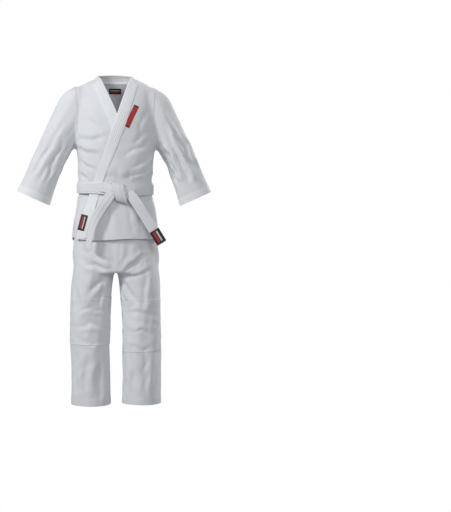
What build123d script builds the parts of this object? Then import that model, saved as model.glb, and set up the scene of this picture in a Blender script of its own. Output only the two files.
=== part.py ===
"""Judo uniform as worn: jacket, tied belt and trousers, filled out as on an invisible wearer.

Millimetres. +Z is up, the wearer faces -Y, and the wearer's left is +X. Heights below are measured from the
trouser hems, and write() moves every piece so that the origin is the centre of the neck opening.
Every cloth panel is a thin closed shell cut from one of a few lofted body forms (torso, sleeve, trousers).
"""

from build123d import *
import math
import os

# ---- driving dimensions -------------------------------------------------------------------------------
CLOTH = 2.5  # thickness of the woven cotton
GAP = 0.5  # clear space between panels that are sewn edge to edge or lie on each other
LIFT = 1.7  # clear space under the collar band, which is bulky where it climbs the neck
BAND = 3.5  # thickness of the quilted collar band
CORE = 1.3  # thickness of the stiff strip inside the collar band
LABEL = 0.9  # thickness of sewn-on labels

NECK_HEIGHT = 1366.0  # neck opening, the origin
COLLAR_TOP = 1402.0
SEAM_HEIGHT = 972.0  # waist seam at the back, just above the belt
BELT_HEIGHT = 915.0
VENT_HEIGHT = 832.0  # top of the side vents
FRONT_HEM, BACK_HEM = 706.0, 697.0
CROSSOVER = 10.0  # how far the outer front stands forward of the inner one
BELT_WIDTH = 42.0
STRAP = 2.4  # thickness of the belt
BELT_INSIDE = (160.0, 119.0)  # half width and half depth inside the first turn

# Torso form: height, half width, half depth, centre in Y.
TORSO = [
    (690, 180, 116, 0),
    (770, 176, 114, 0),
    (835, 166, 110, 0),
    (886, 152, 104, 0),
    (948, 152, 104, 0),
    (985, 158, 115, 0),
    (1045, 159, 120, 0),
    (1110, 168, 122, 0),
    (1180, 188, 119, 2),
    (1240, 200, 111, 4),
    (1290, 192, 99, 7),
    (1322, 175, 85, 9),
    (1345, 146, 72, 11),
    (1366, 88, 60, 12),
]
ARMHOLE = 172.0  # distance of the armhole seams from the middle

# Left sleeve: the cuff's centre, the tilt of its axis from the vertical, and stations along the axis from the
# cuff up: distance, half width, half depth, shift outwards.
CUFF_CENTRE = (341.0, 0.0, 872.0)
SLEEVE_TILT = 24.5
SLEEVE = [
    (0, 73, 58, 0),
    (90, 68, 59, 6),
    (180, 66, 61, 9),
    (270, 70, 66, 5),
    (350, 74, 70, 0),
    (430, 74, 71, -1),
    (470, 60, 62, -3),
    (503, 34, 38, -8),
]
CUFF_BAND = 30.0
ARMHOLE_OPENING = (6.0, 1228.0, 48.0, 88.0)  # centre in Y, height, half width, half height
SHOULDER = (205.0, 5.0, 1258.0)  # where the arm turns, under the top of the sleeve
SHOULDER_RADIUS = 176.0
ELBOW_UP, ELBOW_Y, ELBOW_RADIUS = 145.0, -22.0, 89.0

# Trousers: seat stations (height, half width, half depth) and left leg stations
# (height, half width, half depth, centre in X).
SEAT = [
    (555, 183, 100), (620, 184, 108), (700, 175, 109), (780, 160, 104),
    (870, 141, 93), (935, 136, 89), (1000, 138, 91),
]
LEG = [
    (0, 84, 76, 107), (120, 82, 77, 108), (250, 81, 79, 109),
    (380, 82, 82, 108), (480, 86, 88, 104), (560, 87, 92, 95),
]
WAISTBAND = 38.0
LEG_HEM = 28.0
HIP_Y, HIP_HEIGHT, HIP_RADIUS = -20.0, 640.0, 152.0
KNEE_Y, KNEE_HEIGHT, KNEE_RADIUS = 25.0, 385.0, 115.0
PATCH_TOP, PATCH_BOTTOM, PATCH = 450.0, 225.0, 1.6

# Edges of the crossed fronts, as seen from the front: (x, height) down the inner edge of each collar band.
LAPEL_WIDTH = 42.0
OUTER_EDGE = [(72, 1400), (-90, 925), (-160, 690)]
INNER_EDGE = [(-70, 1400), (6, 1226), (92, 925), (122, 690)]

FAR = 700.0  # beyond every piece
LEFT, RIGHT = 1, -1


# ---- tools ----------------------------------------------------------------------------------------------
def oval_form(stations):
    """Solid lofted through level ovals: (height, half width, half depth, centre X, centre Y)."""
    rings = [Pos(x, y, z) * Rot(0, 0, 90) * Ellipse(b, a) for z, a, b, x, y in stations]
    return loft(rings, ruled=True).solid()


def thick_arc(plane, outside, inside, start, end):
    """Face between two concentric oval arcs on a plane: the section of a cloth wall."""
    outer = plane * EllipticalCenterArc((0, 0), *outside, start_angle=start, arc_size=end - start)
    inner = plane * EllipticalCenterArc((0, 0), *inside, start_angle=start, arc_size=end - start)
    first_end = Line(inner @ 0, outer @ 0).edge()
    last_end = Line(outer @ 1, inner @ 1).edge()
    return make_face([outer.edge(), last_end, inner.edge(), first_end])


def tube(rings, thickness=CLOTH):
    """Cloth tube through rings of (plane, half width, half depth): its back half and its front half."""
    halves = []
    for middle in (90, 270):
        sections = []
        for plane, a, b in rings:
            reach = 90 - math.degrees(math.asin(GAP / 2 / b))
            inside = (a - thickness, b - thickness)
            sections.append(thick_arc(plane, (a, b), inside, middle - reach, middle + reach))
        halves.append(loft(sections, ruled=True).solid())
    return halves


def each(halves, change):
    """The same cut made on both halves of a tube; a half that is cut away altogether is dropped."""
    changed = [change(half) for half in halves]
    return [half for half in changed if half is not None and half.solids()]


def block(x=(-FAR, FAR), y=(-FAR, FAR), z=(-FAR, 2 * FAR + 200)):
    """Box between two limits on each axis."""
    size = [high - low for low, high in (x, y, z)]
    centre = [(high + low) / 2 for low, high in (x, y, z)]
    return Pos(*centre) * Box(*size)


def cutter(outline, front=True):
    """Prism with an outline of (x, height) points, reaching forwards or backwards from the wearer's middle."""
    face = make_face(Polyline([(x, 0, z) for x, z in outline], close=True).edges())
    direction = (0, -1, 0) if front else (0, 1, 0)
    return extrude(face, amount=FAR, dir=direction)


def roller(axis_point, axis_direction, radius, length=2 * FAR):
    """Cylinder round a joint's axis; the cloth on each side of a joint is parted along it."""
    plane = Plane(origin=axis_point, z_dir=axis_direction)
    return plane * Cylinder(radius, length)


def mirrored(shape):
    """The same piece for the wearer's right side."""
    return mirror(shape, about=Plane.YZ)


def strip(edge, low, high, width, grow=0.0):
    """Outline of a band of that width beside a collar edge, between two heights."""

    def across(height):
        points = sorted(edge, key=lambda p: -p[1])
        for (x0, z0), (x1, z1) in zip(points, points[1:]):
            if z1 <= height <= z0:
                return x0 + (x1 - x0) * (z0 - height) / (z0 - z1)
        return points[-1][0]

    heights = sorted({low, high, *(z for _, z in edge if low < z < high)}, reverse=True)
    near = [(across(z) - grow, z) for z in heights]
    far = [(across(z) + width, z) for z in reversed(heights)]
    return near + far


def write(name, *shapes):
    """Writes one node, moved so that the neck opening is the origin."""
    solids = [s for shape in shapes for s in shape.solids()]
    placed = [Pos(0, 0, -NECK_HEIGHT) * s for s in solids]
    export_step(Compound(children=placed) if len(placed) > 1 else placed[0], f"parts/{name}.step")


# ---- body forms -----------------------------------------------------------------------------------------
def torso_rings(grow, forward=0.0):
    """Torso sections grown by an even distance from its surface: more sideways where the shoulders slope."""
    rings = []
    for i, (z, a, b, y) in enumerate(TORSO):
        z0, a0, b0, y0 = TORSO[max(i - 1, 0)]
        z1, a1, b1, y1 = TORSO[min(i + 1, len(TORSO) - 1)]
        grow_a = grow * math.hypot(1, (a1 - a0) / (z1 - z0))
        grow_b = grow * math.hypot(1, (b1 - b0) / (z1 - z0))
        rings.append((z, a + grow_a, b + grow_b, 0, y - forward))
    return rings


def torso_wall(inside, outside, front, forward=0.0):
    """Front or back half of a wall between two distances from the torso's surface."""
    sections = []
    rings = zip(torso_rings(outside, forward), torso_rings(inside, forward))
    for (z, a, b, _, y), (_, a_in, b_in, _, _) in rings:
        # the ends stop just short of the side seams, which run down the middle of the torso
        past = math.degrees(math.asin((forward - GAP / 2) / b))
        start, end = (180 - past, 360 + past) if front else (-past, 180 + past)
        sections.append(thick_arc(Plane(origin=(0, y, z)), (a, b), (a_in, b_in), start, end))
    return loft(sections, ruled=True).solid()


def sleeve_plane(along, shift=0.0):
    """Plane across the left sleeve at a distance up its axis; its X points outwards."""
    tilt = math.radians(SLEEVE_TILT)
    up = (-math.sin(tilt), 0, math.cos(tilt))
    outwards = (math.cos(tilt), 0, math.sin(tilt))
    centre = [CUFF_CENTRE[i] + up[i] * along + outwards[i] * shift for i in range(3)]
    return Plane(origin=centre, x_dir=outwards, z_dir=up)


def sleeve_form(grow=0.0):
    return loft([plane * Ellipse(a, b) for plane, a, b in sleeve_rings(grow)], ruled=True).solid()


def sleeve_rings(grow=0.0):
    return [(sleeve_plane(s, shift), a + grow, b + grow) for s, a, b, shift in SLEEVE]


def leg_rings(grow=0.0):
    return [(Plane(origin=(x, 0, z)), a + grow, b + grow) for z, a, b, x in LEG]


def leg_form(grow=0.0):
    return loft([plane * Ellipse(a, b) for plane, a, b in leg_rings(grow)], ruled=True).solid()


def seat_rings(grow=0.0):
    return [(Plane(origin=(0, 0, z)), a + grow, b + grow) for z, a, b in SEAT]


def cut_to(shape, *limits):
    """What is left of a shape inside every limit."""
    for limit in limits:
        shape = shape & limit
    return shape


# ---- jacket ---------------------------------------------------------------------------------------------
def make_jacket():
    back_wall = torso_wall(0, CLOTH, front=False)
    inner_wall = torso_wall(0, CLOTH, front=True)
    outer_wall = torso_wall(0, CLOTH, front=True, forward=CROSSOVER)

    # back: two halves down to the waist seam, the yoke of the skirt, and the flap between the vents
    above_seam = block(z=(SEAM_HEIGHT + GAP / 2, 2 * FAR))
    below_seam = block(z=(VENT_HEIGHT + GAP, SEAM_HEIGHT - GAP / 2))
    back = cut_to(back_wall, above_seam)
    write("jacket_back_left", cut_to(back, block(x=(GAP / 2, ARMHOLE))))
    write("jacket_back_right", cut_to(back, block(x=(-ARMHOLE, -GAP / 2))))
    write("skirt_back_yoke", cut_to(back_wall, below_seam))
    write("skirt_back_flap", cut_to(back_wall, block(z=(BACK_HEM, VENT_HEIGHT - GAP))))

    # fronts, each in two at the belt
    inner_line = [(x - LAPEL_WIDTH / 3, z) for x, z in INNER_EDGE]
    inner_side = cutter([(-FAR, 1500)] + inner_line + [(-FAR, INNER_EDGE[-1][1])])
    outer_line = [(x + LAPEL_WIDTH / 3, z) for x, z in OUTER_EDGE]
    outer_side = cutter([(FAR, 1500)] + outer_line + [(FAR, OUTER_EDGE[-1][1])])
    chest = block(x=(-ARMHOLE, ARMHOLE), z=(BELT_HEIGHT + GAP / 2, 2 * FAR))
    skirt = block(z=(FRONT_HEM, BELT_HEIGHT - GAP / 2))
    write("jacket_front_right", cut_to(inner_wall, chest, inner_side))
    write("skirt_front_right", cut_to(inner_wall, skirt, inner_side))
    write("jacket_front_left", cut_to(outer_wall, chest, outer_side))
    write("skirt_front_left", cut_to(outer_wall, skirt, outer_side))

    make_band("right_lapel", INNER_EDGE, -LAPEL_WIDTH, 0.0)
    make_band("left_lapel", OUTER_EDGE, LAPEL_WIDTH, CROSSOVER)
    make_collar()

    # lining inside the back of the shoulders, seen through the neck
    lining = torso_wall(-GAP - 1.6, -GAP, front=False)
    write("shoulder_lining", cut_to(lining, block(x=(-ARMHOLE, ARMHOLE), z=(1215, 2 * FAR))))

    # tapes over the back seams and the patches that close the top of each side vent
    tape = torso_wall(CLOTH + GAP, CLOTH + GAP + 1.2, front=False)
    write("back_seam_tape", cut_to(tape, block(x=(-6, 6), y=(0, FAR), z=(SEAM_HEIGHT + 4, 1330))))
    seam_zone = block(x=(-130, 130), y=(30, FAR), z=(SEAM_HEIGHT - 13, SEAM_HEIGHT + 2))
    write("waist_seam_tape", cut_to(tape, seam_zone))
    for side, name in ((LEFT, "left"), (RIGHT, "right")):
        x = sorted((side * 60, side * FAR))
        vent_zone = block(x=x, y=(-FAR, 24), z=(VENT_HEIGHT, VENT_HEIGHT + 34))
        write(f"vent_gusset_{name}", cut_to(tape, vent_zone))

    # labels
    under_lining = torso_wall(-2 * GAP - 1.6 - LABEL, -2 * GAP - 1.6, front=False)
    write("neck_label", cut_to(under_lining, block(x=(-26, 26), y=(0, FAR), z=(1318, 1342))))
    write("size_tab", cut_to(under_lining, block(x=(-6, 6), y=(0, FAR), z=(1308, 1317))))
    on_front = torso_wall(CLOTH + GAP, CLOTH + GAP + LABEL, True, CROSSOVER)
    write("chest_patch", on_front & cutter([(78, 1254), (97, 1250), (60, 1156), (42, 1164)]))
    low = CLOTH + LIFT + BAND + GAP
    on_band = torso_wall(low, low + LABEL, True, CROSSOVER)
    write("lapel_label", on_band & cutter([(-132, 802), (-107, 796), (-126, 735), (-151, 741)]))


def make_band(name, edge, width, forward):
    """Collar band along a front's edge: a closed cover with the stiff strip sealed inside it."""
    low, high = CLOTH + LIFT, CLOTH + LIFT + BAND
    middle = (low + high) / 2
    top = NECK_HEIGHT - 3
    side = math.copysign(1, width)

    def outline(inset):
        full = strip(edge, FRONT_HEM + inset, top - inset, width)
        half = len(full) // 2
        return cutter([(x + side * (inset if i < half else -inset), z) for i, (x, z) in enumerate(full)])

    cover = cut_to(torso_wall(low, high, True, forward), outline(0))
    hollow = torso_wall(middle - CORE / 2 - 0.2, middle + CORE / 2 + 0.2, True, forward)
    pocket = cut_to(hollow, outline(8), block(y=(-FAR, -16)))
    filling = torso_wall(middle - CORE / 2, middle + CORE / 2, True, forward)
    core = cut_to(filling, outline(8.5), block(y=(-FAR, -16.5)))
    write(name, cover - pocket)
    write(name + "_core", core)


def make_collar():
    """Standing collar round the neck: a leaning oval ring, open at the front where the lapels cross."""
    base, top, whole = NECK_HEIGHT + 7, COLLAR_TOP, 2 * BAND

    def ring(inset, thickness, low, high):
        sections = []
        for z in (low, high):
            share = (z - base) / (top - base)
            plane = Plane(origin=(0, 12 + 2 * share, z))
            outside = (94 - 19 * share - inset, 68 - 8 * share - inset)
            sections.append(thick_arc(plane, outside, [radius - thickness for radius in outside], -60, 240))
        return loft(sections, ruled=True).solid()

    def opening(inset):
        edge = [(74, 1500), (74, 1404), (50, 1330)]
        return cutter([(-x - inset, z) for x, z in edge] + [(x + inset, z) for x, z in reversed(edge)])

    middle = (whole - CORE) / 2
    pocket = ring(middle - 0.2, CORE + 0.4, base + 3, top - 3) - opening(5)
    write("neck_collar", ring(0, whole, base, top) - opening(0) - pocket)
    write("neck_collar_core", ring(middle, CORE, base + 3.5, top - 3.5) - opening(5.5))


# ---- sleeves --------------------------------------------------------------------------------------------
def make_sleeves():
    around = roller(SHOULDER, (0, 1, 0), SHOULDER_RADIUS)
    around_cap = roller(SHOULDER, (0, 1, 0), SHOULDER_RADIUS - 2 * GAP)
    elbow = sleeve_plane(ELBOW_UP)
    elbow_point = elbow.from_local_coords(Vector(0, ELBOW_Y, 0))
    bend = roller(elbow_point, elbow.x_dir, ELBOW_RADIUS)
    bend_inside = roller(elbow_point, elbow.x_dir, ELBOW_RADIUS - 2 * GAP)
    below_elbow = sleeve_plane(ELBOW_UP - FAR / 2) * Box(FAR, FAR, FAR)
    above_cuff = sleeve_plane(CUFF_BAND + GAP + FAR / 2) * Box(FAR, FAR, FAR)
    not_upper = below_elbow - bend_inside

    wall = tube(sleeve_rings())
    arm = each(wall, lambda half: (half & above_cuff) - around)
    facing = tube(sleeve_rings(-CLOTH - GAP)[:3], 1.4)
    facing_zone = sleeve_plane(CUFF_BAND / 2) * Box(FAR, FAR, CUFF_BAND - 2)
    band_zone = sleeve_plane(CUFF_BAND / 2) * Box(FAR, FAR, CUFF_BAND)
    whole = {
        "sleeve_{}_upper": each(arm, lambda half: half - not_upper),
        "sleeve_{}_forearm": each(arm, lambda half: (half & below_elbow) - bend),
        "cuff_{}": each(wall, lambda half: half & band_zone),
        "cuff_facing_{}": each(facing, lambda half: half & facing_zone),
    }
    for name, halves in whole.items():
        write(name.format("left"), *halves)
        write(name.format("right"), *[mirrored(half) for half in halves])

    # the fixed top of the sleeve, and the seam that joins it to the body round the armhole
    caps = each(wall, lambda half: half & around_cap & block(x=(ARMHOLE + 2 * GAP + CLOTH, FAR)))
    seam = sleeve_form() & block(x=(ARMHOLE + GAP, ARMHOLE + GAP + CLOTH)) & around_cap
    y, z, half_width, half_height = ARMHOLE_OPENING
    hole = Plane(origin=(0, y, z), x_dir=(0, 1, 0), z_dir=(1, 0, 0)) * Ellipse(half_width, half_height)
    seam = seam - extrude(hole, amount=FAR, dir=(1, 0, 0))
    for side, turn in (("left", lambda shape: shape), ("right", mirrored)):
        write(f"sleeve_{side}_cap", *[turn(half) for half in caps])
        write(f"armhole_seam_{side}", turn(seam))


def largest(shape):
    return sorted(shape.solids(), key=lambda s: s.volume)[-1]


# ---- belt -----------------------------------------------------------------------------------------------
def make_belt():
    slope = math.radians(3.5)
    upwards = (0, -math.sin(slope), math.cos(slope))
    level = Plane(origin=(0, -6, BELT_HEIGHT), x_dir=(1, 0, 0), z_dir=upwards)

    def turn(half_width, half_depth, shift):
        """One turn of the strap round the waist, level with the tilted belt line or shifted along it."""
        low = level * Pos(0, 0, shift - BELT_WIDTH / 2)
        outside = extrude(low * Ellipse(half_width + STRAP, half_depth + STRAP), amount=BELT_WIDTH)
        inside = extrude(low * Ellipse(half_width, half_depth), amount=BELT_WIDTH)
        return outside - inside

    write("belt_first_turn", turn(BELT_INSIDE[0], BELT_INSIDE[1], 4))
    write("belt_second_turn", turn(BELT_INSIDE[0] + STRAP + GAP, BELT_INSIDE[1] + STRAP + GAP, -3))

    # knot: the strap folded flat behind, and the diagonal loop that holds it
    knot_back = -6 - BELT_INSIDE[1] - 2 * (STRAP + GAP) - 2 * GAP
    folds = Box(70, 11, 58)
    folds = fillet(folds.edges().filter_by(Axis.Y), 10)
    folds = fillet(folds.faces().sort_by(Axis.Y)[0].edges(), 3)
    write("belt_knot", Pos(4, knot_back - 5.5, 896) * Rot(0, -8, 0) * folds)
    loop = fillet(Box(50, 6, 70).edges(), 2.4)
    write("belt_knot_loop", Pos(20, knot_back - 11 - GAP - 3, 893) * Rot(0, 14, 0) * loop)

    hang = knot_back - 7
    make_tail("belt_tail_left", [(73, 874), (130, 781), (190, 682)], hang)
    make_tail("belt_tail_right", [(-32, 858), (-80, 792), (-104, 718), (-113, 658)], hang)


def make_tail(name, route, y):
    """Hanging end of the belt: a flat strap along a route of (x, height) points, perhaps with its label."""
    near, far = [], []
    for i, (x, z) in enumerate(route):
        x0, z0 = route[max(i - 1, 0)]
        x1, z1 = route[min(i + 1, len(route) - 1)]
        run = math.hypot(x1 - x0, z1 - z0)
        across = ((z0 - z1) / run * BELT_WIDTH / 2, (x1 - x0) / run * BELT_WIDTH / 2)
        near.append((x - across[0], y, z - across[1]))
        far.append((x + across[0], y, z + across[1]))
    face = make_face(Polyline(near + far[::-1], close=True).edges())
    strap = extrude(face, amount=2 * STRAP, dir=(0, -1, 0)) & block(z=(0, 876))
    write(name, strap)
    if name == "belt_tail_left":
        lean = math.degrees(math.atan2(x1 - x0, z0 - z1))
        back_along = math.radians(lean)
        label = Pos(x - 33 * math.sin(back_along), y - 2 * STRAP - GAP / 2, z + 33 * math.cos(back_along))
        write("belt_tail_label", label * Rot(0, -lean, 0) * Pos(0, -LABEL / 2, 0) * Box(40, LABEL, 62))


# ---- trousers -------------------------------------------------------------------------------------------
def make_trousers():
    seat_top = SEAT[-1][0]
    seat_wall = tube(seat_rings())
    seat = each(seat_wall, lambda half: half & block(z=(0, seat_top - WAISTBAND - GAP)))
    write("trouser_seat_left", *each(seat, lambda half: half & block(x=(GAP / 2, FAR))))
    write("trouser_seat_right", *each(seat, lambda half: half & block(x=(-FAR, -GAP / 2))))
    band_zone = block(z=(seat_top - WAISTBAND, 2 * FAR))
    write("trouser_waistband", *each(seat_wall, lambda half: half & band_zone))
    loops = tube(seat_rings(GAP + 1.4), 1.4)[1]
    for side, name in ((LEFT, "left"), (RIGHT, "right")):
        x = sorted((side * 50, side * 62))
        write(f"belt_loop_{name}", loops & block(x=x, z=(seat_top - WAISTBAND + 2, seat_top - 2)))

    # legs: the top stays with the seat, the thigh turns at the hip and the shin at the knee
    floor = SEAT[0][0]
    leg = tube(leg_rings())
    hip = roller((0, HIP_Y, HIP_HEIGHT), (1, 0, 0), HIP_RADIUS)
    hip_inside = roller((0, HIP_Y, HIP_HEIGHT), (1, 0, 0), HIP_RADIUS - 2 * GAP)
    knee = roller((0, KNEE_Y, KNEE_HEIGHT), (1, 0, 0), KNEE_RADIUS)
    knee_inside = roller((0, KNEE_Y, KNEE_HEIGHT), (1, 0, 0), KNEE_RADIUS - 2 * GAP)
    below_knee = block(z=(-FAR, KNEE_HEIGHT))
    not_thigh = below_knee - knee_inside
    wall = each(leg, lambda half: half & block(z=(LEG_HEM + GAP, floor - GAP)))
    patch = tube(leg_rings(GAP + PATCH), PATCH)[1:]
    patch = each(patch, lambda half: half & block(z=(PATCH_BOTTOM, PATCH_TOP)))
    pieces = {
        "trouser_hip_{}": each(wall, lambda half: half & hip_inside),
        "leg_{}_thigh": each(wall, lambda half: half - hip - not_thigh),
        "leg_{}_shin": each(wall, lambda half: (half & below_knee) - knee),
        "leg_{}_hem": each(leg, lambda half: half & block(z=(0, LEG_HEM))),
        "knee_patch_{}_upper": each(patch, lambda half: half - not_thigh),
        "knee_patch_{}_lower": each(patch, lambda half: (half & below_knee) - knee),
    }
    for name, halves in pieces.items():
        write(name.format("left"), *halves)
        write(name.format("right"), *[mirrored(half) for half in halves])

    # the gusset that closes the crotch between the tops of the legs
    inset = CLOTH + GAP
    crotch = extrude(Pos(0, 0, floor) * Ellipse(SEAT[0][1] - inset, SEAT[0][2] - inset), amount=CLOTH)
    crotch = crotch - leg_form(GAP) - mirrored(leg_form(GAP))
    write("crotch_gusset", largest(crotch & block(x=(-60, 60))))


if __name__ == "__main__":
    os.makedirs("parts", exist_ok=True)
    make_jacket()
    make_sleeves()
    make_belt()
    make_trousers()
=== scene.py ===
"""Judo uniform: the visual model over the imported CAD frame.

Lengths are millimetres until a mesh is made. Heights z are measured from the trouser hems; the frame's origin
is at NECK. The wearer faces -Y and the wearer's left is +X.
"""
import math
import bpy
import numpy as np
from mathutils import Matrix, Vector
from mathutils.bvhtree import BVHTree


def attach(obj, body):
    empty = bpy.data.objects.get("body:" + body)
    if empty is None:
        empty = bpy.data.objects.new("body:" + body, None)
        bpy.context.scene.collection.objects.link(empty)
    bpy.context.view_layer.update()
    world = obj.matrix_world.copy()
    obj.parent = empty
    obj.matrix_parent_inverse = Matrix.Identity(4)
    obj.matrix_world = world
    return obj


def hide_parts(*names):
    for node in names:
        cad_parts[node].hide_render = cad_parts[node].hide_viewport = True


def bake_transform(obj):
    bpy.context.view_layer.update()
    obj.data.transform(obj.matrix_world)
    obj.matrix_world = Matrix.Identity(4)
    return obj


NECK = 1366.0
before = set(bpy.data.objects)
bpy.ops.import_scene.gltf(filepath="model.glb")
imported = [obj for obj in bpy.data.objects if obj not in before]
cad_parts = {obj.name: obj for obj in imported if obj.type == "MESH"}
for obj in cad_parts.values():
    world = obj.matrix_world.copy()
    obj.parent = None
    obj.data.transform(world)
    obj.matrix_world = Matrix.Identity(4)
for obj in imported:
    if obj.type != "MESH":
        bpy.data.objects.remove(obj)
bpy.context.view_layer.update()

SEAM = 972  # where the jacket's back meets its skirt
BELT = 915  # middle of the belt
VENT = 832  # top of the side vents
FRONT_HEM = 706
BACK_HEM = 697
SEAT_END = 574  # where the seat panels meet the thighs
KNEE_SPLIT = 455  # where the thigh panels meet the shins
ELBOW_SPLIT = 192  # the same on a sleeve, as a distance up it from the cuff
LIFT = 6.5  # how far the wearer's left front stands proud of the right one, which it crosses
CLOTH = 2.4
VOXEL = 6.0

# torso stations: height, half width, half depth, how far back the middle lies
TORSO = [
    (640, 182, 118, 0), (690, 180, 116, 0), (770, 176, 114, 0), (835, 166, 110, 0),
    (886, 153, 104, 0), (948, 153, 104, 0), (985, 159, 114, 0), (1045, 160, 120, 0),
    (1110, 168, 122, 0), (1180, 187, 119, 2), (1240, 198, 111, 4), (1290, 191, 98, 7),
    (1322, 174, 85, 9), (1345, 144, 72, 11), (1366, 90, 60, 12), (1376, 70, 50, 12),
]
# sleeve stations: distance up from the cuff, half width, half depth, outward shift
SLEEVE = [
    (-44, 73, 58, 0), (0, 73, 58, 0), (90, 68, 59, 6), (180, 66, 61, 9), (270, 70, 66, 5),
    (350, 74, 70, 0), (430, 74, 71, -1), (470, 60, 62, -3), (503, 34, 38, -8),
]
# seat stations: height, half width, half depth; leg stations also give the leg's distance from the middle
SEAT = [
    (560, 178, 100), (620, 183, 107), (700, 175, 109), (780, 160, 104),
    (870, 141, 93), (935, 136, 89), (1000, 138, 91),
]
LEG = [
    (-44, 84, 76, 107), (0, 84, 76, 107), (120, 82, 77, 108), (250, 81, 79, 109),
    (380, 82, 82, 108), (480, 87, 88, 104), (560, 88, 93, 95), (640, 80, 92, 90),
]
CUFF = np.array([341.0, 0.0, 872.0])
TILT = math.radians(24.5)
UP = np.array([-math.sin(TILT), 0, math.cos(TILT)])
OUT = np.array([math.cos(TILT), 0, math.sin(TILT)])


# ---- small helpers -------------------------------------------------------------------------------
def sampled(stations, step, spread):
    """Stations resampled evenly and smoothed."""
    table = np.array(stations, float)
    s = np.arange(table[0, 0], table[-1, 0] + step, step)
    s[-1] = table[-1, 0]
    kernel = np.exp(-0.5 * (np.arange(-3 * spread, 3 * spread + step, step) / spread) ** 2)
    kernel /= kernel.sum()
    pad = len(kernel) // 2
    columns = [s]
    for c in range(1, table.shape[1]):
        v = np.interp(s, table[:, 0], table[:, c])
        columns.append(np.convolve(np.pad(v, pad, mode="edge"), kernel, mode="valid")[: len(s)])
    return np.array(columns).T


def tube(rows, place, around=72):
    """Closed tube: place(row) gives centre, two half-axis vectors."""
    angle = np.linspace(0, 2 * math.pi, around, endpoint=False)
    verts, faces = [], []
    for row in rows:
        centre, a, b = place(row)
        verts.append(centre + np.outer(np.cos(angle), a) + np.outer(np.sin(angle), b))
    for i in range(len(rows) - 1):
        for j in range(around):
            k = (j + 1) % around
            faces.append((i * around + j, i * around + k, (i + 1) * around + k, (i + 1) * around + j))
    faces.append(tuple(range(around - 1, -1, -1)))
    faces.append(tuple(range((len(rows) - 1) * around, len(rows) * around)))
    return np.concatenate(verts), faces


def mesh_from(name, verts, faces):
    mesh = bpy.data.meshes.new(name)
    points = [(x / 1000, y / 1000, (z - NECK) / 1000) for x, y, z in verts]
    mesh.from_pydata(points, [], [tuple(f) for f in faces])
    mesh.validate()
    return mesh


def union(parts, rounds):
    """One smooth skin round several closed tubes, as points and triangles."""
    verts, faces, base = [], [], 0
    for v, f in parts:
        verts.append(v)
        faces += [tuple(i + base for i in face) for face in f]
        base += len(v)
    obj = bpy.data.objects.new("skin", mesh_from("skin", np.concatenate(verts), faces))
    bpy.context.scene.collection.objects.link(obj)
    remesh = obj.modifiers.new("remesh", "REMESH")
    remesh.mode = "VOXEL"
    remesh.voxel_size = VOXEL / 1000
    smooth = obj.modifiers.new("smooth", "SMOOTH")
    smooth.factor, smooth.iterations = 0.5, rounds
    obj.modifiers.new("tri", "TRIANGULATE")
    mesh = obj.evaluated_get(bpy.context.evaluated_depsgraph_get()).to_mesh()
    points = np.empty(len(mesh.vertices) * 3)
    mesh.vertices.foreach_get("co", points)
    tris = np.empty(len(mesh.polygons) * 3, int)
    mesh.loops.foreach_get("vertex_index", tris)
    bpy.data.objects.remove(obj)
    points = points.reshape(-1, 3) * 1000
    points[:, 2] += NECK
    return points, tris.reshape(-1, 3)


def normals(v, f):
    face = np.cross(v[f[:, 1]] - v[f[:, 0]], v[f[:, 2]] - v[f[:, 0]])
    out = np.zeros_like(v)
    for k in range(3):
        np.add.at(out, f[:, k], face)
    return out / np.maximum(np.linalg.norm(out, axis=1, keepdims=True), 1e-9)


def relax(v, f, rounds, amount=0.5):
    """Plain smoothing of points along a triangle mesh's edges."""
    edges = np.concatenate([f[:, [0, 1]], f[:, [1, 2]], f[:, [2, 0]]])
    edges = np.concatenate([edges, edges[:, ::-1]])
    count = np.maximum(np.bincount(edges[:, 0], minlength=len(v)), 1)[:, None]
    for _ in range(rounds):
        total = np.zeros_like(v)
        np.add.at(total, edges[:, 0], v[edges[:, 1]])
        v = v + amount * (total / count - v)
    return v


def keep(v, f, field, extra=()):
    """The part of a triangle mesh where field is above zero, cut cleanly; extra columns ride along."""
    cols = [np.asarray(e, float).reshape(len(v), -1) for e in extra]
    data = np.concatenate([v] + cols, axis=1)
    field = np.where(np.abs(field) < 1e-6, 1e-6, field)
    inside = field[f] > 0
    count = inside.sum(axis=1)
    crossed = (count == 1) | (count == 2)
    mixed, mask = f[crossed], inside[crossed]
    table, added = {}, []

    def cut(i, j):
        key = (i, j) if i < j else (j, i)
        if key not in table:
            t = field[key[0]] / (field[key[0]] - field[key[1]])
            table[key] = len(data) + len(added)
            added.append(data[key[0]] * (1 - t) + data[key[1]] * t)
        return table[key]

    new = []
    for tri, inn in zip(mixed.tolist(), mask.tolist()):
        single = inn.index(True) if sum(inn) == 1 else inn.index(False)
        a, b, c = tri[single], tri[(single + 1) % 3], tri[(single + 2) % 3]
        ab, ac = cut(a, b), cut(a, c)
        if sum(inn) == 1:
            new.append((a, ab, ac))
        else:
            new += [(ab, b, c), (ab, c, ac)]
    f = np.concatenate([f[count == 3], np.array(new, int).reshape(-1, 3)])
    if added:
        data = np.concatenate([data, np.array(added)])
    used, f = np.unique(f, return_inverse=True)
    data = data[used]
    result, at = [data[:, :3], f.reshape(-1, 3)], 3
    for c in cols:
        result.append(data[:, at:at + c.shape[1]] if c.shape[1] > 1 else data[:, at])
        at += c.shape[1]
    return result


def cut_out(v, f, fields, weave):
    """The part of a mesh where every field is above zero, clipped by one field after another."""
    columns = list(fields) + [weave]
    for i in range(len(fields)):
        v, f, *columns = keep(v, f, columns[i], columns)
    return v, f, columns[-1]


def ramp(value, low, high):
    t = np.clip((value - low) / (high - low), 0, 1)
    return t * t * (3 - 2 * t)


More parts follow.
